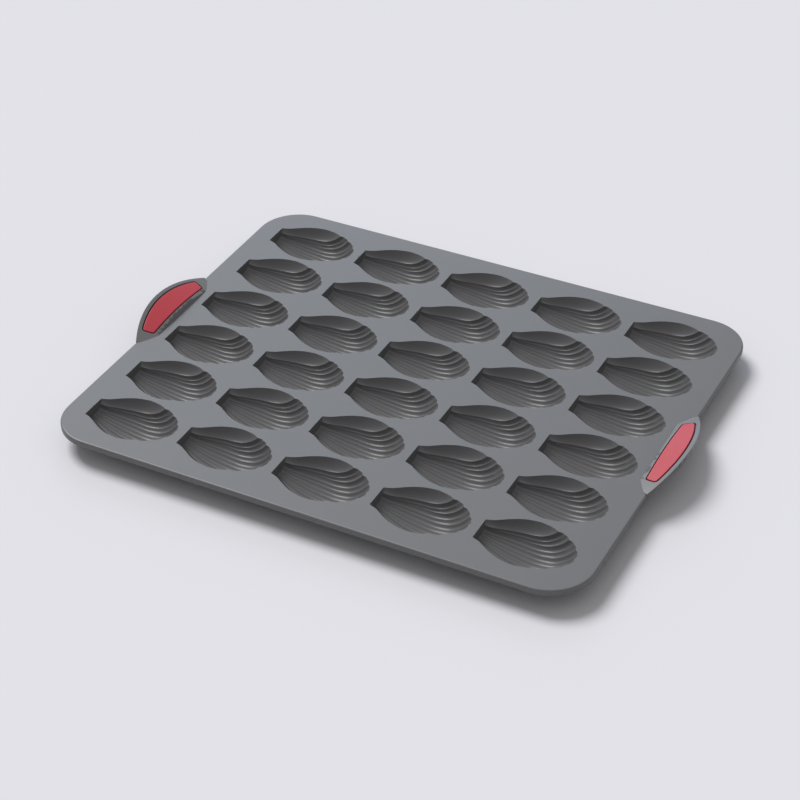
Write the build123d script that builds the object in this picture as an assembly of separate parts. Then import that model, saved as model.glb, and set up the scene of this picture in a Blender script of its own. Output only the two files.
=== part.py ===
from build123d import *
import os
from math import cos, hypot, radians, sin, tan

# Silicone madeleine pan for thirty cakes: one flexible moulding with a steel hoop in its rim and a
# coloured plate in each of its two grips. Millimetres, +Z up. The cups' long axis is X. The origin
# is on the surface that the pan stands on, under its centre.

# Cup pattern
columns = 5
rows = 6
cup_pitch_x = 68.0
cup_pitch_y = 46.4
margin_end = 15.0
margin_side = 13.5

# Cup, measured inside at the top of the sheet
cup_length = 61.5
cup_width = 42.6
cup_depth = 15.7
cup_wall = 1.6
cup_edge_bevel = 0.8
cup_foot_cut = 0.5
channel_sag = 1.1
flank_sag = 0.8
lobe_reach = 0.95
end_wall_draft = 8.0

# Sheet and rim
sheet_thickness = 2.0
rim_height = 4.6
rim_width = 6.4
corner_radius = 29.0
rim_round = 1.1

# Steel hoop in the rim
wire_diameter = 2.6
wire_clearance = 0.15

# Grips, one at the middle of each narrow side; u runs outwards from the side of the tray
grip_length = 87.0
grip_reach = 10.9
grip_foot_inset = 9.2
grip_foot_length = 75.0
grip_step_run = 2.0
grip_step_rise = 3.0
grip_tilt = 18.0
grip_crown_radius = 210.0
grip_edge_height = 4.0
grip_gusset_reach = 2.5
grip_gusset_rise = 1.2
grip_gusset_drop = 3.0

# Colour plate in each grip
plate_length = 66.0
plate_foot_length = 61.0
plate_width = 13.1
plate_inset = 5.6
plate_thickness = 1.8
plate_proud = 0.2
plate_corner_radius = 1.6
plate_groove = 0.5
plate_groove_depth = 0.9
plate_seat_gap = 0.05
plate_edge_round = 0.4

# One overrun serves every cut
overrun = 2.0

# Half width of a cup's mouth along its straight-sided part: place along the length, half width
mouth_shares = [
    (0.0, 0.423),
    (0.08, 0.505),
    (0.17, 0.672),
    (0.25, 0.808),
    (0.33, 0.910),
    (0.42, 0.974),
    (0.525, 1.0),
    (0.61, 0.957),
    (0.672, 0.883),
    (0.699, 0.831),
]
widest_share = 0.5

# The crests between the channels, from the centreline outwards: where a crest meets the mouth
# (along, across), how far out it fans over the bowl, and its greatest depth
crest_shares = [
    (0.992, 0.0, 0.0, 0.924),
    (0.950, 0.338, 0.340, 0.860),
    (0.837, 0.643, 0.610, 0.675),
    (0.699, 0.831, 0.770, 0.465),
]

# Depth along a crest or channel, from the narrow end wall to the mouth: place, depth
depth_along_shares = [
    (0.0, 0.35),
    (0.2, 0.66),
    (0.42, 0.91),
    (0.6, 1.0),
    (0.75, 0.91),
    (0.87, 0.62),
    (0.95, 0.28),
    (1.0, 0.0),
]

# Places along a line where its straight pieces meet, and the lines laid in each channel
station_shares = [0.0, 0.3, 0.6, 0.8, 0.93, 1.0]
inside_floor_shares = [0.3, 0.7]
outside_floor_shares = [0.5]
flank_floor_share = 0.5

# Worked out from the sizes above
half_width = cup_width / 2
tray_length = (columns - 1) * cup_pitch_x + cup_length + 2 * margin_end
tray_width = (rows - 1) * cup_pitch_y + cup_width + 2 * margin_side
tray_edge = tray_length / 2


def between(table, place):
    """Value at a place in a table of (place, value) rows, on straight lines between the rows."""
    for (left, low), (right, high) in zip(table, table[1:]):
        if place <= right:
            return low + (high - low) * (place - left) / (right - left)
    return table[-1][1]


def channel_row(inner, outer, part):
    """Shares of a line laid in the channel between two crests, a part of the way across it."""
    along, across, fan, depth = [a + (b - a) * part for a, b in zip(inner, outer)]
    run = (outer[0] - inner[0]) * cup_length
    rise = (outer[1] - inner[1]) * half_width
    reach = lobe_reach / hypot(run, rise)
    along += rise * reach / cup_length
    across -= run * reach / half_width
    return along, across, fan, depth, channel_sag


def cup_rows(floor_shares):
    """Every line of half a cup, from the centreline to the one before the mouth's edge."""
    rows_out = [crest_shares[0] + (0.0,)]
    for inner, outer in zip(crest_shares, crest_shares[1:]):
        rows_out += [channel_row(inner, outer, part) for part in floor_shares]
        rows_out.append(outer + (0.0,))
    along, across, fan, depth = crest_shares[-1]
    part = flank_floor_share
    rows_out.append((along, across, fan + (1 - fan) * part, depth * (1 - part), flank_sag))
    return rows_out


def spread(fan, across, place, end):
    """Share of the half width that a line has at a place: it follows the mouth, then runs out."""
    if place <= widest_share:
        return fan * between(mouth_shares, place)
    turned = (place - widest_share) / (end - widest_share)
    return fan + (across - fan) * turned


def cup_lines(grow, rim_z, floor_shares):
    """The lines of one side of a cup, each a list of points, the mouth's edge last."""
    length = cup_length + 2 * grow
    width = half_width + grow
    deeper = max(grow, 0)
    edge = crest_shares[-1][0]
    lines = []
    for along, across, fan, depth, sag in cup_rows(floor_shares):
        points = []
        for station in station_shares:
            place = along * station
            share = between(depth_along_shares, station)
            z = rim_z
            if share > 0:
                z = -(depth * cup_depth + sag) * share - deeper
            lean = (rim_z - z) * tan(radians(end_wall_draft)) if station == 0 else 0
            x = (place - 0.5) * length + lean
            points.append((x, spread(fan, across, place, along) * width, z))
        lines.append(points)
    mouth = []
    for station in station_shares:
        place = edge * station
        mouth.append(((place - 0.5) * length, between(mouth_shares, place) * width, rim_z))
    lines.append(mouth)
    return lines


def standing_height():
    """Height of the sheet's top when the cups stand on their lowest ridges, cut flat as feet."""
    lines = cup_lines(cup_wall, -sheet_thickness / 2, outside_floor_shares)
    return max(-z for line in lines for x, y, z in line) - cup_foot_cut


sheet_top = standing_height()


def mirrored(points):
    return [(x, -y, z) for x, y, z in points]


def flat_face(*corners):
    return Face(Wire.make_polygon(corners, close=True))


def strip(first, second):
    """Flat faces between two neighbouring lines or outlines of as many points."""
    faces = []
    for a, b, c, d in zip(first, first[1:], second, second[1:]):
        if Vector(a) != Vector(c):
            faces.append(flat_face(a, b, c))
        if Vector(b) != Vector(d):
            faces.append(flat_face(b, d, c))
    return faces


def cup_mouth(lines):
    """Flat face over a cup, its outline taken once round from one corner of the narrow end."""
    far = [line[-1] for line in lines[:-2]]
    half = lines[-1][:-1] + far[::-1]
    return flat_face(*half, *mirrored(half[-2::-1]))


def cup_form(grow, rim_z, floor_shares):
    """A fluted cup as a solid, its centre at the origin and the sheet's top at zero."""
    lines = cup_lines(grow, rim_z, floor_shares)
    faces = []
    for near, far in zip(lines, lines[1:]):
        faces += strip(near, far)
        faces += strip(mirrored(near), mirrored(far))
    ends = [line[0] for line in lines]
    faces.append(flat_face(*mirrored(ends[::-1]), *ends[1:]))
    faces.append(cup_mouth(lines))
    return Solid(Shell(faces))


def cup_hollow():
    """What is cut from the sheet for one cup: the fluted bowl and the bevel round its mouth."""
    bowl = cup_form(-cup_edge_bevel, -cup_edge_bevel, inside_floor_shares)
    lid = bowl.faces().sort_by(Axis.Z)[-1]
    return bowl + extrude(lid, 2 * cup_edge_bevel, dir=(0, 0, 1), taper=-45)


def cup_places():
    """Where the centres of the cups are."""
    first_x = -(columns - 1) * cup_pitch_x / 2
    first_y = -(rows - 1) * cup_pitch_y / 2
    return [
        Location((first_x + column * cup_pitch_x, first_y + row * cup_pitch_y, sheet_top))
        for column in range(columns)
        for row in range(rows)
    ]


def tray_plan(inset):
    return RectangleRounded(tray_length - 2 * inset, tray_width - 2 * inset, corner_radius - inset)


def tray_blank():
    """The sheet with its deeper rim, before cups and grips."""
    blank = Pos(0, 0, sheet_top - rim_height) * extrude(tray_plan(0), rim_height)
    blank = fillet(blank.edges() - blank.edges().filter_by(Axis.Z), rim_round)
    under = extrude(tray_plan(rim_width), rim_height - sheet_thickness + overrun)
    return blank - Pos(0, 0, sheet_top - rim_height - overrun) * under


def rim_hoop(radius):
    """A ring of wire of the given radius along the middle of the rim."""
    path = Pos(0, 0, sheet_top - rim_height / 2) * tray_plan(rim_width / 2).wire()
    return sweep(Plane(origin=path @ 0, z_dir=path % 0) * Circle(radius), path=path)


def across_grip(points, length):
    """A profile of (u, height above the sheet) points, drawn out along the grip."""
    profile = make_face(Polyline(*points, close=True))
    placed = Plane(origin=(tray_edge, 0, sheet_top), x_dir=(1, 0, 0), z_dir=(0, -1, 0)) * profile
    return extrude(placed, length / 2, both=True)


def grip_top(u):
    """Height of the slanting top above the sheet, along the middle of the grip."""
    return grip_step_rise + (u + grip_foot_inset - grip_step_run) * tan(radians(grip_tilt))


def under_crown(raised):
    """What lies under the crowned top of the grip, the top raised by a given amount."""
    tilt = radians(grip_tilt)
    upwards = Vector(-sin(tilt), 0, cos(tilt))
    on_top = Vector(tray_edge, 0, sheet_top + grip_top(0))
    plane = Plane(origin=on_top - upwards * grip_crown_radius, z_dir=(cos(tilt), 0, sin(tilt)))
    return extrude(plane * Circle(grip_crown_radius + raised), 2 * grip_reach, both=True)


def bow_radius():
    half_grip = grip_length / 2
    return (half_grip**2 + grip_reach**2) / (2 * grip_reach)


def grip_plan():
    """Outline of a grip from above: straight at its foot and bowed outwards."""
    half_foot = grip_foot_length / 2
    half_grip = grip_length / 2
    foot = [(-grip_foot_inset, half_foot), (-grip_foot_inset, -half_foot)]
    ends = Polyline((0, half_grip), *foot, (0, -half_grip))
    bow = ThreePointArc((0, -half_grip), (grip_reach, 0), (0, half_grip))
    return make_face([ends, bow])


def grip_wing():
    """One grip without its pocket, on the +X side."""
    outer_top = grip_top(grip_reach)
    section = [
        (-grip_foot_inset, 0),
        (-grip_foot_inset, -sheet_thickness / 2),
        (-rim_width / 2, -sheet_thickness / 2),
        (-rim_width / 2, rim_round - rim_height),
        (-rim_round, rim_round - rim_height),
        (0, -grip_gusset_drop),
        (grip_gusset_reach, grip_gusset_rise),
        (grip_reach, outer_top - grip_edge_height),
        (grip_reach, outer_top + overrun),
        (grip_step_run - grip_foot_inset, grip_step_rise + overrun),
        (grip_step_run - grip_foot_inset, grip_step_rise),
    ]
    wing = across_grip(section, grip_length)
    wing &= Pos(tray_edge, 0, sheet_top - rim_height) * extrude(grip_plan(), rim_height + outer_top + overrun)
    return wing & under_crown(0)


def plate_plan(grow):
    """Outline of a colour plate from above: its outer side keeps step with the bowed grip."""
    half = plate_length / 2
    half_foot = plate_foot_length / 2
    outer = plate_width - plate_inset
    radius = bow_radius() - grip_reach + outer
    corner = outer - radius + (radius**2 - half**2) ** 0.5
    sides = Polyline((corner, half), (-plate_inset, half_foot), (-plate_inset, -half_foot), (corner, -half))
    bow = ThreePointArc((corner, -half), (outer, 0), (corner, half))
    face = make_face([sides, bow])
    face = fillet(face.vertices(), plate_corner_radius)
    return offset(face, grow) if grow else face


def plate_block(grow, top, bottom):
    """The plate's outline, grown, between two heights over the crowned top."""
    tall = rim_height + grip_top(grip_reach) + 2 * overrun
    prism = Pos(tray_edge, 0, sheet_top - rim_height) * extrude(plate_plan(grow), tall)
    return (prism & under_crown(top)) - under_crown(bottom)


def grip_plate():
    """Colour plate of the grip on the +X side."""
    plate = plate_block(0, plate_proud, -plate_thickness)
    top = plate.faces().sort_by(Axis((0, 0, 0), (-sin(radians(grip_tilt)), 0, cos(radians(grip_tilt)))))[-1]
    return fillet(top.edges(), plate_edge_round)


def plate_pocket():
    """Seat of the plate and the groove round it."""
    seat = plate_block(plate_seat_gap, overrun, -plate_thickness - plate_seat_gap)
    return seat + plate_block(plate_groove, overrun, -plate_groove_depth)


def on_both_sides(solid):
    """The solid as it stands on the +X side, and turned half round for the -X side."""
    return [solid, Rot(0, 0, 180) * solid]


def mould_body():
    body = tray_blank()
    for wing in on_both_sides(grip_wing()):
        body += wing
    outside = cup_form(cup_wall, -sheet_thickness / 2, outside_floor_shares)
    inside = cup_hollow()
    places = cup_places()
    body = body.fuse(*[place * outside for place in places])
    body = body.cut(*[place * inside for place in places])
    ground = Box(tray_length, tray_width, 2 * overrun, align=(Align.CENTER, Align.CENTER, Align.MAX))
    cutters = on_both_sides(plate_pocket()) + [ground, rim_hoop(wire_diameter / 2 + wire_clearance)]
    return body.cut(*cutters)


os.makedirs("parts", exist_ok=True)
right_plate = grip_plate()
export_step(mould_body(), "parts/mould_body.step", write_pcurves=False)
export_step(rim_hoop(wire_diameter / 2), "parts/rim_hoop.step")
export_step(right_plate, "parts/grip_plate_right.step")
export_step(Rot(0, 0, 180) * right_plate, "parts/grip_plate_left.step")
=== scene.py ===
from math import cos, hypot, pi, radians, sin, tan

import bmesh
import bpy
from mathutils import Matrix, Vector


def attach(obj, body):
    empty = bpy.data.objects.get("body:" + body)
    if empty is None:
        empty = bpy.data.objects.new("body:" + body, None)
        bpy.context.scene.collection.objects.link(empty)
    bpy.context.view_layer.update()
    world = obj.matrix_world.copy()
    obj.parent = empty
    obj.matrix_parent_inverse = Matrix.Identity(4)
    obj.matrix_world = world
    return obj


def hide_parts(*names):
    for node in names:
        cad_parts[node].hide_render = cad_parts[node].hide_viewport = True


bl_info = {
    "name": "Madeleine pan",
    "version": (1, 0, 0),
    "blender": (4, 5, 0),
    "location": "View3D > Sidebar > Madeleine pan",
    "description": "Dresses the packed madeleine pan with its fluted moulding and materials",
    "category": "Object",
}

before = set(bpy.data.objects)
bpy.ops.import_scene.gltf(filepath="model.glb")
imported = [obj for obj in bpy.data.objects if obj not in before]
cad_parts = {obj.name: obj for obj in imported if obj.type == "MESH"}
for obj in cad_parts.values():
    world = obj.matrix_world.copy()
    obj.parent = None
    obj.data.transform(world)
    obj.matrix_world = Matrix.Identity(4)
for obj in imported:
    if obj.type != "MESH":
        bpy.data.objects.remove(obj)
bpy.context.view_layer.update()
BODY = "root"
MM = 0.001

# Half width of a cup's mouth along its side: place along the length, half width
MOUTH_SHARES = [
    (0.0, 0.423),
    (0.08, 0.505),
    (0.17, 0.672),
    (0.25, 0.808),
    (0.33, 0.910),
    (0.42, 0.974),
    (0.525, 1.0),
    (0.61, 0.957),
    (0.672, 0.883),
    (0.699, 0.831),
]
# Up to here a line follows the mouth's side, and from here on it runs out to its own end
WIDEST_SHARE = 0.5

# The crests between the channels, from the centreline outwards: where a crest meets the mouth
# (along, across), how far out it fans over the bowl, and its greatest depth
CREST_SHARES = [
    (0.992, 0.0, 0.0, 0.924),
    (0.950, 0.338, 0.340, 0.860),
    (0.837, 0.643, 0.610, 0.675),
    (0.699, 0.831, 0.770, 0.465),
]
# Where the flank ends on the mouth's side, and the power of the curve that it rises on
FLANK_END_SHARE = 0.62
FLANK_CURVE = 1.8

# Depth along a crest or channel, from the narrow end wall to the mouth: place, depth
DEPTH_SHARES = [
    (0.0, 0.35),
    (0.2, 0.66),
    (0.42, 0.91),
    (0.6, 1.0),
    (0.75, 0.91),
    (0.87, 0.62),
    (0.95, 0.28),
    (1.0, 0.0),
]

# How deep the flutes are along a line, from the narrow end wall to the mouth: place, share
FLUTE_SHARES = [
    (0.0, 0.85),
    (0.12, 1.0),
    (0.85, 1.0),
    (0.96, 0.8),
    (1.0, 0.0),
]

# How far the mouth's outline bulges, in lobe reaches, over a channel and over each of its flutes
CHANNEL_BULGE = 0.85
FLUTE_BULGE = 0.3

# Rows of a cup's mesh along its length, closer together where it turns up to the mouth
ROW_SHARES = [
    0, 0.035, 0.09, 0.15, 0.22, 0.3, 0.38, 0.46, 0.54, 0.61,
    0.68, 0.74, 0.79, 0.84, 0.88, 0.915, 0.942, 0.963, 0.98, 1,
]
OUTER_ROW_SHARES = [0, 0.08, 0.2, 0.32, 0.44, 0.56, 0.66, 0.76, 0.84, 0.9, 0.95, 0.98, 1]

# Rows of a cup's narrow end wall, from the mouth down
WALL_ROW_SHARES = [0, 0.15, 0.4]

# Columns of a flute, and of the flank, from the last crest to the mouth's side
COLUMNS_PER_FLUTE = 4
FLANK_COLUMN_SHARES = [0.2, 0.4, 0.57, 0.71, 0.82, 0.9, 0.96, 1]

# Rows of the flat collar round a cup's mouth, outwards
COLLAR_SHARES = [0.7, 1]

# Steps of the curved edges
CORNER_STEPS = 14
RIM_SEGMENTS = 4
EDGE_SEGMENTS = 3
BOW_STEPS = 30
PLATE_BOW_STEPS = 28
PLATE_CORNER_STEPS = 5
CROWN_STEPS = 48

# The block under a grip's crowned top: half its arc as a share of the grip's length, and how far
# from the middle of the arc its underside lies, as a share of the radius
CROWN_ARC_SHARE = 0.6
CROWN_FOOT_SHARE = 0.8

# How far a cutting tool passes what it cuts, and the heights over the sheet of a seat's tool
OVERRUN = 2 * MM
SEAT_HEIGHTS = (-4 * MM, 20 * MM)

# Vertices nearer than this become one: within a cup's surface, and in the whole moulding
MERGE_DISTANCE = 0.02 * MM
SEAM_DISTANCE = 0.03 * MM

# The upward part of a face's normal: least for a level face, least for one that faces mostly up
# or down, and most for an upright wall
LEVEL = 0.9999
MOSTLY_LEVEL = 0.9
UPRIGHT = 0.1

# Edges bent more than the first are rounded, edges bent more than the second are shaded sharp,
# and corners of a plate more open than the third stay as they are
ROUNDED_ANGLE = radians(30)
SHARP_ANGLE = radians(50)
OPEN_ANGLE = radians(150)
FACE_AREA_WEIGHT = 100

# Finish of each silicone: mean roughness, how much its tone varies, and how strongly it shines
GREY_FINISH = {"roughness": 0.4, "speckle": 0.04, "gloss": 0.55}
RED_FINISH = {"roughness": 0.46, "speckle": 0.05, "gloss": 0.4}
SILICONE_IOR = 1.5
ROUGHNESS_SPREAD = 0.05

# The grain that a blasted mould leaves in the silicone
GRAIN_SPACING = 0.5 * MM
GRAIN_DEPTH = 0.05 * MM
GRAIN_STRENGTH = 0.12

# Patches of a slightly different tone are about 45 mm across
CLOUDS_PER_METRE = 22

# Finish of the wire: streaks 0.3 mm apart, and its least and greatest roughness
STREAKS_PER_METRE = 3300
WIRE_ROUGHNESS = (0.28, 0.42)

# Sockets of a Mix node that mixes colours
MIX_FACTOR, MIX_FIRST, MIX_SECOND, MIX_RESULT = 0, 6, 7, 2

# Each lamp: name, where it stands (azimuth and elevation in degrees), strength, size in degrees,
# colour
LAMPS = [
    ("key_light", 157, 52, 2.35, 28, "#FFFFFF"),
    ("back_softbox", 121, 23, 0.42, 30, "#CFE8FF"),
]
WORLD_STRENGTH = 0.38
FLOOR_SIZE = 8
FLOOR_DROP = 0.2 * MM
FLOOR_ROUGHNESS = 0.9

# The camera: its place in millimetres, where it looks in radians, and its lens, as a focal length
# and a frame width in pixels and a sensor width in millimetres
CAMERA_PLACE = (498.1, -959.3, 790.8)
CAMERA_YAW = 2.0555
CAMERA_PITCH = -0.6321
CAMERA_ROLL = -0.0147
FOCAL_PIXELS = 2057
FRAME_PIXELS = 800
SENSOR_WIDTH = 36


class PanSizes(bpy.types.PropertyGroup):
    cup_length: bpy.props.FloatProperty(
        name="Cup length", description="Inside length of a cup at the sheet",
        default=61.5 * MM, unit="LENGTH")
    cup_width: bpy.props.FloatProperty(
        name="Cup width", description="Inside width of a cup at the sheet",
        default=42.6 * MM, unit="LENGTH")
    cup_depth: bpy.props.FloatProperty(
        name="Cup depth", description="Depth of a cup's deepest channel",
        default=15.7 * MM, unit="LENGTH")
    channel_sag: bpy.props.FloatProperty(
        name="Channel depth", description="Depth of a channel below its crests",
        default=0.55 * MM, unit="LENGTH")
    flute_sag: bpy.props.FloatProperty(
        name="Flute depth", description="Depth of the two flutes in a channel",
        default=0.85 * MM, unit="LENGTH")
    flank_sag: bpy.props.FloatProperty(
        name="Flank hollow", description="Hollow of a cup's flank", default=0.1 * MM, unit="LENGTH")
    lobe_reach: bpy.props.FloatProperty(
        name="Lobe reach", description="How far a lobe of the mouth stands out",
        default=1.3 * MM, unit="LENGTH")
    end_draft: bpy.props.FloatProperty(
        name="End draft", description="Lean of the narrow end wall",
        default=radians(8), subtype="ANGLE")
    pitch_x: bpy.props.FloatProperty(
        name="Pitch along", description="Spacing of the cups lengthwise",
        default=68 * MM, unit="LENGTH")
    pitch_y: bpy.props.FloatProperty(
        name="Pitch across", description="Spacing of the cups crosswise",
        default=46.4 * MM, unit="LENGTH")
    columns: bpy.props.IntProperty(name="Columns", description="Cups lengthwise", default=5)
    rows: bpy.props.IntProperty(name="Rows", description="Cups crosswise", default=6)
    sheet_top: bpy.props.FloatProperty(
        name="Sheet height", description="Height of the sheet's top",
        default=16.2044 * MM, unit="LENGTH")
    sheet_thickness: bpy.props.FloatProperty(
        name="Sheet thickness", description="Thickness of the sheet", default=2 * MM, unit="LENGTH")
    tray_length: bpy.props.FloatProperty(
        name="Tray length", description="Length without the grips",
        default=363.5 * MM, unit="LENGTH")
    tray_width: bpy.props.FloatProperty(
        name="Tray width", description="Width of the tray", default=301.6 * MM, unit="LENGTH")
    corner_radius: bpy.props.FloatProperty(
        name="Corner radius", description="Radius of the tray's corners",
        default=29 * MM, unit="LENGTH")
    rim_height: bpy.props.FloatProperty(
        name="Rim height", description="Height of the rim", default=4.6 * MM, unit="LENGTH")
    rim_width: bpy.props.FloatProperty(
        name="Rim width", description="Width of the rim", default=6.4 * MM, unit="LENGTH")
    rim_round: bpy.props.FloatProperty(
        name="Rim rounding", description="Radius of the rim's edges",
        default=1.1 * MM, unit="LENGTH")
    mouth_round: bpy.props.FloatProperty(
        name="Mouth rounding", description="Rounding of a cup's mouth",
        default=1.0 * MM, unit="LENGTH")
    collar: bpy.props.FloatProperty(
        name="Collar", description="Width of the flat band round a cup, and of the cup's wall",
        default=1.6 * MM, unit="LENGTH")


class GripSizes(bpy.types.PropertyGroup):
    length: bpy.props.FloatProperty(
        name="Length", description="Length of a grip where it leaves the tray",
        default=87 * MM, unit="LENGTH")
    reach: bpy.props.FloatProperty(
        name="Reach", description="How far a grip stands out", default=10.9 * MM, unit="LENGTH")
    foot_inset: bpy.props.FloatProperty(
        name="Foot inset", description="Where the grip starts on the sheet",
        default=9.2 * MM, unit="LENGTH")
    foot_length: bpy.props.FloatProperty(
        name="Foot length", description="Length of the grip's inner foot",
        default=75 * MM, unit="LENGTH")
    step_run: bpy.props.FloatProperty(
        name="Step run", description="Width of the step at the foot",
        default=1.4 * MM, unit="LENGTH")
    foot_rise: bpy.props.FloatProperty(
        name="Foot rise", description="Height of the slanting top over the foot",
        default=2.35 * MM, unit="LENGTH")
    tilt: bpy.props.FloatProperty(
        name="Tilt", description="Slope of the grip's top", default=radians(18), subtype="ANGLE")
    edge_height: bpy.props.FloatProperty(
        name="Edge height", description="Height of the grip's outer edge",
        default=4 * MM, unit="LENGTH")
    gusset_reach: bpy.props.FloatProperty(
        name="Gusset reach", description="Reach of the gusset under the grip",
        default=2.5 * MM, unit="LENGTH")
    gusset_rise: bpy.props.FloatProperty(
        name="Gusset rise", description="Top of the gusset over the sheet",
        default=1.2 * MM, unit="LENGTH")
    gusset_drop: bpy.props.FloatProperty(
        name="Gusset drop", description="Foot of the gusset on the rim",
        default=3 * MM, unit="LENGTH")
    crown_radius: bpy.props.FloatProperty(
        name="Crown radius", description="Radius of the grip's crowned top",
        default=210 * MM, unit="LENGTH")
    edge_round: bpy.props.FloatProperty(
        name="Edge rounding", description="Rounding of the grip's edges",
        default=0.5 * MM, unit="LENGTH")
    plate_length: bpy.props.FloatProperty(
        name="Plate length", description="Length of the colour plate at its bowed side",
        default=66 * MM, unit="LENGTH")
    plate_foot: bpy.props.FloatProperty(
        name="Plate foot", description="Length of the plate's straight side",
        default=61 * MM, unit="LENGTH")
    plate_width: bpy.props.FloatProperty(
        name="Plate width", description="Width of the colour plate from above",
        default=12.9 * MM, unit="LENGTH")
    plate_inset: bpy.props.FloatProperty(
        name="Plate inset", description="Where the plate's straight side lies",
        default=5.4 * MM, unit="LENGTH")
    plate_corner: bpy.props.FloatProperty(
        name="Plate corner", description="Radius of the plate's corners",
        default=1.6 * MM, unit="LENGTH")
    plate_thickness: bpy.props.FloatProperty(
        name="Plate thickness", description="Depth of the plate's seat",
        default=1.85 * MM, unit="LENGTH")
    groove: bpy.props.FloatProperty(
        name="Groove", description="Width of the groove round the plate",
        default=0.9 * MM, unit="LENGTH")


class PanColours(bpy.types.PropertyGroup):
    silicone: bpy.props.StringProperty(
        name="Silicone", description="sRGB colour of the moulding", default="#5D5D5E")
    plate: bpy.props.StringProperty(
        name="Plates", description="sRGB colour of the grip plates", default="#B42F3C")
    wire: bpy.props.StringProperty(
        name="Wire", description="sRGB colour of the steel hoop", default="#B9BBBD")
    floor: bpy.props.StringProperty(
        name="Floor", description="sRGB colour of the floor", default="#E2E1E6")


def colour(text):
    """Linear colour of an sRGB hex value."""
    parts = [int(text[place:place + 2], 16) / 255 for place in (1, 3, 5)]
    return [p / 12.92 if p <= 0.04045 else ((p + 0.055) / 1.055) ** 2.4 for p in parts] + [1]


def smooth_value(table, place):
    """Value at a place in a table of (place, value) rows, on a smooth curve through the rows."""
    slopes = []
    for (x0, y0), (x1, y1) in zip(table, table[1:]):
        slopes.append((y1 - y0) / (x1 - x0))
    ends = [slopes[0]]
    for before, after in zip(slopes, slopes[1:]):
        ends.append(0 if before * after <= 0 else 2 * before * after / (before + after))
    ends.append(slopes[-1])
    for index, ((x0, y0), (x1, y1)) in enumerate(zip(table, table[1:])):
        if place <= x1:
            span = x1 - x0
            t = (place - x0) / span
            start = (1 + 2 * t) * (1 - t) ** 2 * y0 + t * (1 - t) ** 2 * span * ends[index]
            return start + t * t * (3 - 2 * t) * y1 + t * t * (t - 1) * span * ends[index + 1]
    return table[-1][1]


def arch(part):
    """A parabola that rises from 0 through 1 and back to 0 as the part goes from 0 to 1."""
    return 4 * part * (1 - part)


def direction(azimuth, elevation):
    """The unit vector towards an azimuth and elevation."""
    level = cos(elevation)
    return Vector((level * cos(azimuth), level * sin(azimuth), sin(elevation)))


def deselect_all():
    """Deselects every object, the frame's nodes among them."""
    bpy.ops.object.select_all(action="DESELECT")


def make_active(piece):
    """Selects the piece alone and makes it the one that operators act on."""
    deselect_all()
    piece.select_set(True)
    bpy.context.view_layer.objects.active = piece


def new_grid(name, across, along):
    """A grid of squares, across by along, as a new piece."""
    deselect_all()
    bpy.ops.mesh.primitive_grid_add(x_subdivisions=across, y_subdivisions=along, size=1)
    piece = bpy.context.object
    piece.name = name
    return piece


def new_outline(name, points):
    """A flat face with its corners at the points, as a new piece."""
    deselect_all()
    bpy.ops.mesh.primitive_circle_add(vertices=len(points), radius=1, fill_type="NGON")
    piece = bpy.context.object
    piece.name = name
    for vertex, point in zip(piece.data.vertices, points):
        vertex.co = point
    return piece


def extruded(piece, offset):
    """The piece's faces drawn out by an offset into a closed solid."""
    make_active(piece)
    bpy.ops.object.mode_set(mode="EDIT")
    bpy.ops.mesh.select_all(action="SELECT")
    bpy.ops.mesh.extrude_region_move(TRANSFORM_OT_translate={"value": offset})
    bpy.ops.mesh.select_all(action="SELECT")
    bpy.ops.mesh.normals_make_consistent(inside=False)
    bpy.ops.object.mode_set(mode="OBJECT")
    return piece


def apply_boolean(piece, tool, operation):
    """Unites the piece with a tool, cuts the tool from it or keeps what they share."""
    make_active(piece)
    modifier = piece.modifiers.new(operation.title(), "BOOLEAN")
    modifier.operation = operation
    modifier.solver = "EXACT"
    modifier.object = tool
    bpy.ops.object.modifier_apply(modifier=modifier.name)
    bpy.data.objects.remove(tool)
    return piece


def copy_at(piece, place):
    """A copy of the piece with its own mesh, moved to a place."""
    twin = piece.copy()
    twin.data = piece.data.copy()
    bpy.context.collection.objects.link(twin)
    twin.data.transform(Matrix.Translation(place))
    return twin


def join_all(pieces):
    """Joins the pieces into the first of them."""
    make_active(pieces[0])
    for piece in pieces[1:]:
        piece.select_set(True)
    bpy.ops.object.join()
    return pieces[0]


def cup_centres(sizes):
    """The middles of the cups' mouths."""
    first_x = -(sizes.columns - 1) * sizes.pitch_x / 2
    first_y = -(sizes.rows - 1) * sizes.pitch_y / 2
    return [
        Vector((first_x + column * sizes.pitch_x, first_y + row * sizes.pitch_y, sizes.sheet_top))
        for column in range(sizes.columns)
        for row in range(sizes.rows)
    ]


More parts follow.
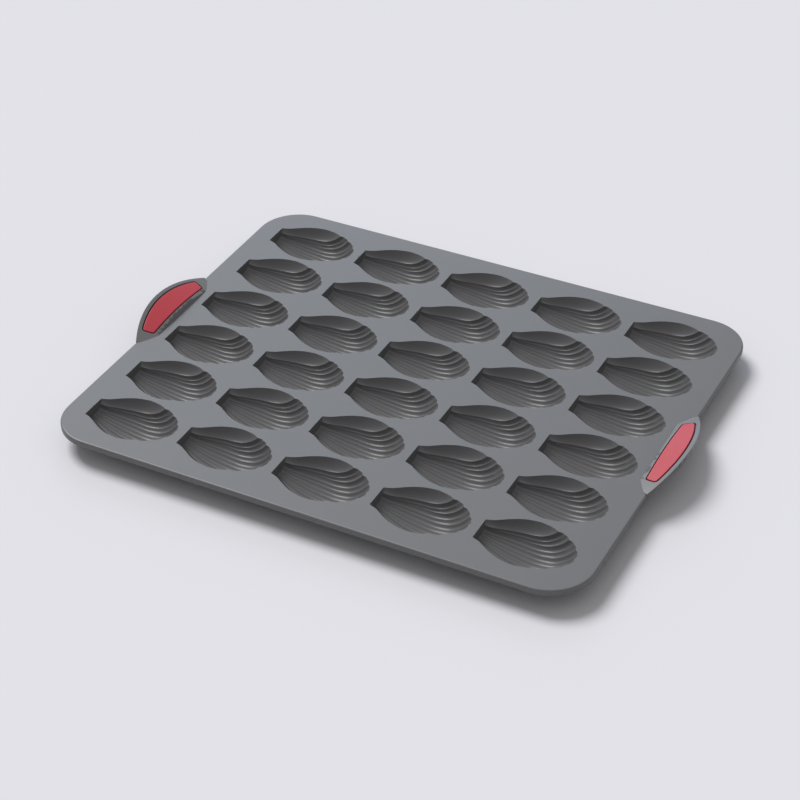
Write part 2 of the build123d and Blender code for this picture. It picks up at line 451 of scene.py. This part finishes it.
def cup_columns(sizes, fluted):
    """Lines of half a cup, from the centreline to its side: shares (along, across, fan, depth) and
    the sag of its channel and of its flute. Each channel has two flutes inside and none outside."""
    lines = [CREST_SHARES[0] + (0, 0)]
    steps = 2 * COLUMNS_PER_FLUTE if fluted else COLUMNS_PER_FLUTE
    for inner, outer in zip(CREST_SHARES, CREST_SHARES[1:]):
        run = (outer[0] - inner[0]) * sizes.cup_length
        rise = (outer[1] - inner[1]) * sizes.cup_width / 2
        for step in range(1, steps + 1):
            part = step / steps
            bulge = arch(part)
            flute = arch(2 * part % 1) if fluted else 0
            lobe = CHANNEL_BULGE * bulge + FLUTE_BULGE * flute
            reach = sizes.lobe_reach * lobe / hypot(run, rise)
            along, across, fan, depth = [a + (b - a) * part for a, b in zip(inner, outer)]
            along += rise * reach / sizes.cup_length
            across -= run * reach / (sizes.cup_width / 2)
            channel = sizes.channel_sag * bulge
            lines.append((along, across, fan, depth, channel, sizes.flute_sag * flute))
    edge, _, fan, depth = CREST_SHARES[-1]
    for part in FLANK_COLUMN_SHARES:
        along = edge + (FLANK_END_SHARE - edge) * part
        across = smooth_value(MOUTH_SHARES, along)
        reached = fan + (1 - fan) * part
        fallen = depth * (1 - part**FLANK_CURVE)
        lines.append((along, across, reached, fallen, sizes.flank_sag * arch(part), 0))
    return lines


def cup_point(sizes, line, row, grow):
    """Point of a cup's bowl on a line, a share of the way along it, the mouth at zero height. The
    outer skin is grown outwards and downwards from the inner one."""
    end, across, fan, depth, sag, flute = line
    place = end * row
    if place <= WIDEST_SHARE:
        spread = fan * smooth_value(MOUTH_SHARES, place)
    else:
        turned = (place - WIDEST_SHARE) / (end - WIDEST_SHARE)
        spread = fan + (across - fan) * turned
    share = smooth_value(DEPTH_SHARES, row)
    z = -(depth * sizes.cup_depth + sag) * share - flute * smooth_value(FLUTE_SHARES, row)
    if row < 1 and depth > 0:
        z -= grow
    x = (place - 0.5) * (sizes.cup_length + 2 * grow)
    if row == 0:
        x -= z * tan(sizes.end_draft)
    return Vector((x, spread * (sizes.cup_width / 2 + grow), z))


def cup_grid(name, sizes, grow, fluted, row_shares):
    """The bowl of a cup with its narrow end wall, as an open surface."""
    lines = cup_columns(sizes, fluted)
    lines = lines[:0:-1] + lines
    middle = len(lines) // 2
    rows = len(WALL_ROW_SHARES) + len(row_shares)
    piece = new_grid(name, len(lines) - 1, rows - 1)
    vertices = piece.data.vertices
    for column, line in enumerate(lines):
        side = 1 if column < middle else -1
        foot = cup_point(sizes, line, 0, grow)
        head = Vector((-sizes.cup_length / 2 - grow, foot.y, 0))
        points = [head.lerp(foot, share) for share in WALL_ROW_SHARES]
        points += [cup_point(sizes, line, share, grow) for share in row_shares]
        for row, point in enumerate(points):
            vertices[row * len(lines) + column].co = (point.x, side * point.y, point.z)
    return piece


def select_where(piece, test, kind):
    """In edit mode, selects the edges or faces of a piece that pass a test."""
    bpy.ops.mesh.select_mode(type=kind)
    bpy.ops.mesh.select_all(action="DESELECT")
    mesh = bmesh.from_edit_mesh(piece.data)
    for element in {"EDGE": mesh.edges, "FACE": mesh.faces}[kind]:
        if test(element):
            element.select = True
    mesh.select_flush_mode()
    bmesh.update_edit_mesh(piece.data)


def merge_doubles(piece, distance=MERGE_DISTANCE):
    """Makes vertices that are nearer than a distance one."""
    make_active(piece)
    bpy.ops.object.mode_set(mode="EDIT")
    bpy.ops.mesh.select_all(action="SELECT")
    bpy.ops.mesh.remove_doubles(threshold=distance)
    bpy.ops.object.mode_set(mode="OBJECT")


def borders_a_flat(edge):
    """Whether an edge lies between a level face and one that isn't level."""
    flat = [abs(face.normal.z) > LEVEL for face in edge.link_faces]
    return len(flat) == 2 and flat[0] != flat[1]


def collar_scale(sizes, width):
    """How much larger than a cup's mouth the outline is that lies a width outside it."""
    return Vector((1 + 2 * width / sizes.cup_length, 1 + 2 * width / sizes.cup_width, 1))


def cup_inside(sizes):
    """A cup's inner surface with a flat collar round its mouth, the edge between them rounded."""
    piece = cup_grid("Cup inside", sizes, 0, True, ROW_SHARES)
    merge_doubles(piece)
    bpy.ops.object.mode_set(mode="EDIT")
    previous = Vector((1, 1, 1))
    select_where(piece, lambda edge: edge.is_boundary, "EDGE")
    for share in COLLAR_SHARES:
        scale = collar_scale(sizes, sizes.collar * share)
        step = [now / before for now, before in zip(scale, previous)]
        bpy.ops.mesh.extrude_edges_move()
        bpy.ops.transform.resize(value=step, center_override=(0, 0, 0))
        previous = scale
    select_where(piece, borders_a_flat, "EDGE")
    bpy.ops.mesh.bevel(
        offset=sizes.mouth_round, segments=EDGE_SEGMENTS, affect="EDGES", clamp_overlap=True)
    bpy.ops.object.mode_set(mode="OBJECT")
    return piece


def cup_outside(sizes):
    """A cup's outer surface, its lowest ridges flat where the pan stands."""
    piece = cup_grid("Cup outside", sizes, sizes.collar, False, OUTER_ROW_SHARES)
    for vertex in piece.data.vertices:
        vertex.co.z = min(max(vertex.co.z, -sizes.sheet_top), -sizes.sheet_thickness)
    merge_doubles(piece)
    bpy.ops.object.mode_set(mode="EDIT")
    bpy.ops.mesh.select_all(action="SELECT")
    bpy.ops.mesh.flip_normals()
    bpy.ops.object.mode_set(mode="OBJECT")
    return piece


def boundary_points(piece):
    """The points of an open surface's only boundary, in order."""
    mesh = bmesh.new()
    mesh.from_mesh(piece.data)
    edge = next(edge for edge in mesh.edges if edge.is_boundary)
    start, vertex = edge.verts
    points = [start.co.copy()]
    while vertex != start:
        points.append(vertex.co.copy())
        edge = next(other for other in vertex.link_edges if other.is_boundary and other != edge)
        vertex = edge.other_vert(vertex)
    mesh.free()
    return points


def rounded_rectangle(length, width, radius, z):
    """The outline of a rectangle with rounded corners, round the vertical axis."""
    points = []
    for quarter, (sx, sy) in enumerate(((1, 1), (-1, 1), (-1, -1), (1, -1))):
        centre = Vector((sx * (length / 2 - radius), sy * (width / 2 - radius), z))
        for step in range(CORNER_STEPS + 1):
            angle = (quarter + step / CORNER_STEPS) * pi / 2
            points.append(centre + radius * Vector((cos(angle), sin(angle), 0)))
    return points


def tray_blank(sizes):
    """The sheet with its deeper rim, the rim's edges rounded."""
    z = sizes.sheet_top
    outline = rounded_rectangle(sizes.tray_length, sizes.tray_width, sizes.corner_radius, z)
    blank = extruded(new_outline("Silicone moulding", outline), (0, 0, -sizes.rim_height))
    make_active(blank)
    bpy.ops.object.mode_set(mode="EDIT")
    select_where(blank, lambda face: abs(face.normal.z) > MOSTLY_LEVEL, "FACE")
    bpy.ops.mesh.region_to_loop()
    bpy.ops.mesh.bevel(offset=sizes.rim_round, segments=RIM_SEGMENTS, affect="EDGES")
    bpy.ops.object.mode_set(mode="OBJECT")
    inset = sizes.rim_width
    under = rounded_rectangle(
        sizes.tray_length - 2 * inset, sizes.tray_width - 2 * inset, sizes.corner_radius - inset,
        z - sizes.sheet_thickness)
    tool = extruded(new_outline("Tray underside", under), (0, 0, -sizes.rim_height))
    return apply_boolean(blank, tool, "DIFFERENCE")


def grip_top(grip, u):
    """Height of a grip's slanting top over the sheet, a distance u outside the tray's end."""
    return grip.foot_rise + (u + grip.foot_inset) * tan(grip.tilt)


def across_grip(name, sizes, points, length):
    """A profile of (u, height over the sheet) points, drawn out along a grip."""
    edge = sizes.tray_length / 2
    outline = [(edge + u, -length / 2, sizes.sheet_top + z) for u, z in points]
    return extruded(new_outline(name, outline), (0, length, 0))


def bow(grip, half, margin, steps):
    """Points along a grip's bowed outer side, a margin inside it, over a half length each way."""
    radius = ((grip.length / 2) ** 2 + grip.reach**2) / (2 * grip.reach)
    centre = grip.reach - radius
    points = []
    for step in range(steps + 1):
        y = -half + 2 * half * step / steps
        points.append((centre + ((radius - margin) ** 2 - y * y) ** 0.5, y))
    return points


def plan_prism(name, sizes, plan, bottom, top):
    """A plan of (u, y) points over a grip, drawn up between two heights over the sheet."""
    edge = sizes.tray_length / 2
    outline = [(edge + u, y, sizes.sheet_top + bottom) for u, y in plan]
    return extruded(new_outline(name, outline), (0, 0, top - bottom))


def under_crown(name, sizes, grip, raised):
    """What lies under the crowned top of a grip, the top raised by a given amount."""
    upwards = Vector((-sin(grip.tilt), 0, cos(grip.tilt)))
    outwards = Vector((cos(grip.tilt), 0, sin(grip.tilt)))
    centre = Vector((sizes.tray_length / 2, 0, sizes.sheet_top + grip_top(grip, 0)))
    centre -= upwards * grip.crown_radius + outwards * 2 * grip.reach
    radius = grip.crown_radius + raised
    turn = CROWN_ARC_SHARE * grip.length / grip.crown_radius
    outline = []
    for step in range(CROWN_STEPS + 1):
        angle = turn * (2 * step / CROWN_STEPS - 1)
        outline.append(centre + radius * (sin(angle) * Vector((0, 1, 0)) + cos(angle) * upwards))
    for side in (1, -1):
        corner = centre + Vector((0, side * radius * sin(turn), 0))
        outline.append(corner + upwards * CROWN_FOOT_SHARE * radius)
    return extruded(new_outline(name, outline), outwards * 4 * grip.reach)


def grip_wing(sizes, grip):
    """A grip on the +X side, without the seat of its plate."""
    outer_top = grip_top(grip, grip.reach)
    step_end = grip.step_run - grip.foot_inset
    rim_foot = sizes.rim_round - sizes.rim_height
    section = [
        (-grip.foot_inset, 0),
        (-grip.foot_inset, -sizes.sheet_thickness / 2),
        (-sizes.rim_width / 2, -sizes.sheet_thickness / 2),
        (-sizes.rim_width / 2, rim_foot),
        (-sizes.rim_round, rim_foot),
        (0, -grip.gusset_drop),
        (grip.gusset_reach, grip.gusset_rise),
        (grip.reach, outer_top - grip.edge_height),
        (grip.reach, outer_top + OVERRUN),
        (step_end, grip_top(grip, step_end) + OVERRUN),
        (step_end, grip_top(grip, step_end)),
    ]
    wing = across_grip("Grip", sizes, section, grip.length + 2 * OVERRUN)
    half_foot = grip.foot_length / 2
    plan = [(-grip.foot_inset, half_foot), (-grip.foot_inset, -half_foot)]
    plan += bow(grip, grip.length / 2, 0, BOW_STEPS)
    tool = plan_prism("Grip plan", sizes, plan, -sizes.rim_height, outer_top + 2 * OVERRUN)
    apply_boolean(wing, tool, "INTERSECT")
    apply_boolean(wing, under_crown("Grip crown", sizes, grip, 0), "INTERSECT")
    make_active(wing)
    modifier = wing.modifiers.new("Soft edges", "BEVEL")
    modifier.width = grip.edge_round
    modifier.segments = EDGE_SEGMENTS
    modifier.limit_method = "ANGLE"
    modifier.angle_limit = ROUNDED_ANGLE
    bpy.ops.object.modifier_apply(modifier=modifier.name)
    return wing


def plate_outline(grip, grow):
    """The plan of a colour plate as (u, y) points with rounded corners, grown by a margin."""
    inner = -grip.plate_inset - grow
    slope = (grip.plate_length - grip.plate_foot) / (2 * grip.plate_width)
    half_foot = grip.plate_foot / 2 + grow * (hypot(1, slope) - slope)
    margin = grip.reach - (grip.plate_width - grip.plate_inset) - grow
    outer = bow(grip, grip.plate_length / 2 + grow, margin, PLATE_BOW_STEPS)
    radius = grip.plate_corner + grow
    sharp = [(inner, half_foot), (inner, -half_foot)] + outer
    points = []
    for index, corner in enumerate(sharp):
        before = Vector(sharp[index - 1])
        here = Vector(corner)
        after = Vector(sharp[(index + 1) % len(sharp)])
        first, second = (before - here).normalized(), (after - here).normalized()
        opening = first.angle(second)
        if opening > OPEN_ANGLE:
            points.append(corner)
            continue
        reach = min(radius / tan(opening / 2), (before - here).length, (after - here).length)
        start, end = here + first * reach, here + second * reach
        for step in range(PLATE_CORNER_STEPS + 1):
            t = step / PLATE_CORNER_STEPS
            points.append(tuple((1 - t) ** 2 * start + 2 * t * (1 - t) * here + t * t * end))
    return points


def plate_seat(sizes, grip):
    """The space of a colour plate and the groove round it, open upwards."""
    seat = plan_prism("Plate seat", sizes, plate_outline(grip, grip.groove), *SEAT_HEIGHTS)
    below = under_crown("Seat floor", sizes, grip, -grip.plate_thickness)
    return apply_boolean(seat, below, "DIFFERENCE")


def turned_copy(piece):
    """A copy of the piece turned half round the vertical axis."""
    twin = copy_at(piece, (0, 0, 0))
    twin.data.transform(Matrix.Rotation(pi, 4, "Z"))
    return twin


def gripped_tray(sizes, grip):
    """The tray with a grip at each end and the seats of their plates."""
    tray = tray_blank(sizes)
    wing = grip_wing(sizes, grip)
    seat = plate_seat(sizes, grip)
    for part in (turned_copy(wing), wing):
        apply_boolean(tray, part, "UNION")
    for part in (turned_copy(seat), seat):
        apply_boolean(tray, part, "DIFFERENCE")
    return tray


def cut_cup_holes(tray, sizes, outline):
    """Cuts a hole with the given outline for each cup, and opens the holes' walls."""
    deep = 2 * sizes.sheet_thickness
    raised = [point + Vector((0, 0, deep / 2)) for point in outline]
    plug = extruded(new_outline("Plug", raised), (0, 0, -2 * deep))
    plugs = join_all([copy_at(plug, centre) for centre in cup_centres(sizes)])
    bpy.data.objects.remove(plug)
    apply_boolean(tray, plugs, "DIFFERENCE")
    make_active(tray)
    bpy.ops.object.mode_set(mode="EDIT")
    margin = 2 * sizes.collar
    half_x = (sizes.columns - 1) * sizes.pitch_x / 2 + sizes.cup_length / 2 + margin
    half_y = (sizes.rows - 1) * sizes.pitch_y / 2 + sizes.cup_width / 2 + margin
    lowest = sizes.sheet_top - sizes.sheet_thickness

    def is_hole_wall(face):
        centre = face.calc_center_median()
        within = abs(centre.x) < half_x and abs(centre.y) < half_y
        return within and abs(face.normal.z) < UPRIGHT and lowest < centre.z < sizes.sheet_top

    select_where(tray, is_hole_wall, "FACE")
    bpy.ops.mesh.delete(type="FACE")
    bpy.ops.object.mode_set(mode="OBJECT")


def shade_moulding(moulding):
    """Smooth shading that keeps the level sheet even right up to its edges."""
    make_active(moulding)
    bpy.ops.object.mode_set(mode="EDIT")
    select_where(moulding, borders_a_flat, "EDGE")
    bpy.ops.mesh.mark_sharp()
    bpy.ops.object.mode_set(mode="OBJECT")
    bpy.ops.object.shade_smooth_by_angle(angle=SHARP_ANGLE)
    modifier = moulding.modifiers.new("Even shading", "WEIGHTED_NORMAL")
    modifier.keep_sharp = True
    modifier.weight = FACE_AREA_WEIGHT
    bpy.ops.object.modifier_apply(modifier=modifier.name)


def silicone_moulding(sizes, grip):
    """The whole moulding: tray, grips and fluted cups in one mesh."""
    tray = gripped_tray(sizes, grip)
    inside = cup_inside(sizes)
    outside = cup_outside(sizes)
    cut_cup_holes(tray, sizes, boundary_points(inside))
    surfaces = []
    for centre in cup_centres(sizes):
        surfaces += [copy_at(part, centre) for part in (inside, outside)]
    for part in (inside, outside):
        bpy.data.objects.remove(part)
    moulding = join_all([tray] + surfaces)
    merge_doubles(moulding, SEAM_DISTANCE)
    shade_moulding(moulding)
    return moulding


def add_node(owner, kind, settings=None, **links):
    """A shader node of a material or world, with its settings; each link names an input and the
    output that feeds it."""
    node = owner.node_tree.nodes.new(kind)
    for name, value in (settings or {}).items():
        if name in node.inputs:
            node.inputs[name].default_value = value
        else:
            setattr(node, name, value)
    for name, source in links.items():
        owner.node_tree.links.new(source, node.inputs[name])
    return node


def new_material(name):
    """A material with only its output and a principled shader joined to it, and that shader."""
    material = bpy.data.materials.new(name)
    material.use_nodes = True
    return material, material.node_tree.nodes["Principled BSDF"]


def moulded_silicone(name, text, roughness, speckle, gloss):
    """Liquid silicone rubber from a finely blasted steel mould: an even satin with a soft, broad
    shine, in places a little duller or paler. The blasting leaves pits about 0.2 mm apart, drawn at
    0.5 mm so that they show as a faint grain."""
    material, shader = new_material(name)
    links = material.node_tree.links
    place = add_node(material, "ShaderNodeTexCoord").outputs["Object"]
    grain = add_node(
        material, "ShaderNodeTexNoise", {"Scale": 1 / GRAIN_SPACING, "Detail": 2}, Vector=place)
    cloud = add_node(
        material, "ShaderNodeTexNoise", {"Scale": CLOUDS_PER_METRE, "Detail": 3}, Vector=place)
    base = colour(text)
    tint = add_node(material, "ShaderNodeMix", {"data_type": "RGBA"})
    tint.inputs[MIX_FIRST].default_value = [part * (1 - speckle) for part in base[:3]] + [1]
    tint.inputs[MIX_SECOND].default_value = [
        min(1, part * (1 + speckle)) for part in base[:3]] + [1]
    links.new(cloud.outputs["Fac"], tint.inputs[MIX_FACTOR])
    links.new(tint.outputs[MIX_RESULT], shader.inputs["Base Color"])
    spread = {"To Min": roughness - ROUGHNESS_SPREAD, "To Max": roughness + ROUGHNESS_SPREAD}
    rough = add_node(material, "ShaderNodeMapRange", spread, Value=cloud.outputs["Fac"])
    links.new(rough.outputs["Result"], shader.inputs["Roughness"])
    bump = add_node(
        material, "ShaderNodeBump", {"Strength": GRAIN_STRENGTH, "Distance": GRAIN_DEPTH},
        Height=grain.outputs["Fac"])
    links.new(bump.outputs["Normal"], shader.inputs["Normal"])
    shader.inputs["IOR"].default_value = SILICONE_IOR
    shader.inputs["Specular IOR Level"].default_value = gloss
    return material


def drawn_wire(name, text):
    """Drawn spring steel wire: grey metal with faint streaks along it, 0.3 mm apart."""
    material, shader = new_material(name)
    place = add_node(material, "ShaderNodeTexCoord").outputs["Object"]
    streaks = add_node(
        material, "ShaderNodeTexNoise", {"Scale": STREAKS_PER_METRE, "Detail": 1}, Vector=place)
    least, most = WIRE_ROUGHNESS
    rough = add_node(
        material, "ShaderNodeMapRange", {"To Min": least, "To Max": most},
        Value=streaks.outputs["Fac"])
    material.node_tree.links.new(rough.outputs["Result"], shader.inputs["Roughness"])
    shader.inputs["Base Color"].default_value = colour(text)
    shader.inputs["Metallic"].default_value = 1
    return material


def set_material(piece, material):
    """Gives the piece this material alone."""
    piece.data.materials.clear()
    piece.data.materials.append(material)


class MADELEINE_OT_moulding(bpy.types.Operator):
    """Adds the grey silicone moulding in place of its plain solid"""

    bl_idname = "madeleine.moulding"
    bl_label = "Silicone moulding"

    def execute(self, context):
        piece = silicone_moulding(context.scene.pan_sizes, context.scene.grip_sizes)
        piece.name = "silicone_moulding"
        text = context.scene.pan_colours.silicone
        set_material(piece, moulded_silicone("Moulded silicone, grey", text, **GREY_FINISH))
        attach(piece, BODY)
        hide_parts("mould_body")
        return {"FINISHED"}


class MADELEINE_OT_plates(bpy.types.Operator):
    """Finishes the red plates in the grips"""

    bl_idname = "madeleine.plates"
    bl_label = "Grip plates"

    def execute(self, context):
        text = context.scene.pan_colours.plate
        material = moulded_silicone("Moulded silicone, red", text, **RED_FINISH)
        for node in ("grip_plate_left", "grip_plate_right"):
            set_material(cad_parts[node], material)
        return {"FINISHED"}


class MADELEINE_OT_hoop(bpy.types.Operator):
    """Finishes the steel hoop inside the rim"""

    bl_idname = "madeleine.hoop"
    bl_label = "Rim hoop"

    def execute(self, context):
        material = drawn_wire("Drawn steel wire", context.scene.pan_colours.wire)
        set_material(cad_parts["rim_hoop"], material)
        return {"FINISHED"}


class MADELEINE_OT_stage(bpy.types.Operator):
    """Adds the pale floor, the studio lights and the camera"""

    bl_idname = "madeleine.stage"
    bl_label = "Stage"

    def execute(self, context):
        scene = context.scene
        deselect_all()
        bpy.ops.mesh.primitive_plane_add(size=FLOOR_SIZE, location=(0, 0, -FLOOR_DROP))
        floor = context.object
        floor.name = "studio_floor"
        material, shader = new_material("Studio floor")
        shader.inputs["Base Color"].default_value = colour(scene.pan_colours.floor)
        shader.inputs["Roughness"].default_value = FLOOR_ROUGHNESS
        shader.inputs["Specular IOR Level"].default_value = 0
        set_material(floor, material)
        add_lights()
        add_world(scene)
        add_camera(scene)
        scene.view_settings.view_transform = "Standard"
        return {"FINISHED"}


def add_lights():
    """A high key from the left and a wide, low softbox behind."""
    for name, azimuth, elevation, strength, size, text in LAMPS:
        bpy.ops.object.light_add(type="SUN")
        lamp = bpy.context.object
        lamp.name = name
        lamp.data.energy = strength
        lamp.data.angle = radians(size)
        lamp.data.color = colour(text)[:3]
        toward = direction(radians(azimuth), radians(elevation))
        lamp.rotation_euler = toward.to_track_quat("Z", "Y").to_euler()


def add_world(scene):
    """An even white surrounding that lights the pan. The camera and reflections see the floor's
    colour in its place."""
    world = bpy.data.worlds.new("Studio")
    world.use_nodes = True
    background = world.node_tree.nodes["Background"]
    background.inputs["Color"].default_value = (1, 1, 1, 1)
    background.inputs["Strength"].default_value = WORLD_STRENGTH
    backdrop = add_node(world, "ShaderNodeBackground")
    backdrop.inputs["Color"].default_value = colour(scene.pan_colours.floor)
    ray = add_node(world, "ShaderNodeLightPath")
    seen = add_node(world, "ShaderNodeMath", {"operation": "MAXIMUM"})
    shown = add_node(world, "ShaderNodeMath", {"operation": "MAXIMUM"})
    mix = add_node(world, "ShaderNodeMixShader", Fac=shown.outputs["Value"])
    links = world.node_tree.links
    links.new(ray.outputs["Is Camera Ray"], seen.inputs[0])
    links.new(ray.outputs["Is Glossy Ray"], seen.inputs[1])
    links.new(seen.outputs["Value"], shown.inputs[0])
    links.new(ray.outputs["Is Transmission Ray"], shown.inputs[1])
    links.new(background.outputs["Background"], mix.inputs[1])
    links.new(backdrop.outputs["Background"], mix.inputs[2])
    links.new(mix.outputs["Shader"], world.node_tree.nodes["World Output"].inputs["Surface"])
    scene.world = world


def add_camera(scene):
    """The camera at the photograph's viewing angle."""
    bpy.ops.object.camera_add(location=[part * MM for part in CAMERA_PLACE])
    camera = bpy.context.object
    camera.name = "studio_camera"
    view = direction(CAMERA_YAW, CAMERA_PITCH)
    turned = view.to_track_quat("-Z", "Y").to_matrix() @ Matrix.Rotation(CAMERA_ROLL, 3, "Z")
    camera.rotation_euler = turned.to_euler()
    camera.data.sensor_width = SENSOR_WIDTH
    camera.data.lens = SENSOR_WIDTH * FOCAL_PIXELS / FRAME_PIXELS
    scene.camera = camera


class MADELEINE_PT_panel(bpy.types.Panel):
    """Sizes, colours and steps of the madeleine pan"""

    bl_idname = "MADELEINE_PT_panel"
    bl_label = "Madeleine pan"
    bl_space_type = "VIEW_3D"
    bl_region_type = "UI"
    bl_category = "Madeleine pan"

    def draw(self, context):
        layout = self.layout
        scene = context.scene
        for group in (scene.pan_sizes, scene.grip_sizes, scene.pan_colours):
            box = layout.box()
            for name in group.__annotations__:
                box.prop(group, name)
        for step in STEPS:
            layout.operator(step.bl_idname)


STEPS = (MADELEINE_OT_moulding, MADELEINE_OT_plates, MADELEINE_OT_hoop, MADELEINE_OT_stage)
GROUPS = (PanSizes, GripSizes, PanColours)


def register():
    for kind in GROUPS + STEPS + (MADELEINE_PT_panel,):
        bpy.utils.register_class(kind)
    bpy.types.Scene.pan_sizes = bpy.props.PointerProperty(type=PanSizes)
    bpy.types.Scene.grip_sizes = bpy.props.PointerProperty(type=GripSizes)
    bpy.types.Scene.pan_colours = bpy.props.PointerProperty(type=PanColours)


def unregister():
    del bpy.types.Scene.pan_colours
    del bpy.types.Scene.grip_sizes
    del bpy.types.Scene.pan_sizes
    for kind in reversed(GROUPS + STEPS + (MADELEINE_PT_panel,)):
        bpy.utils.unregister_class(kind)


def main():
    register()
    bpy.ops.madeleine.moulding()
    bpy.ops.madeleine.plates()
    bpy.ops.madeleine.hoop()
    bpy.ops.madeleine.stage()


if __name__ == "__main__":
    main()
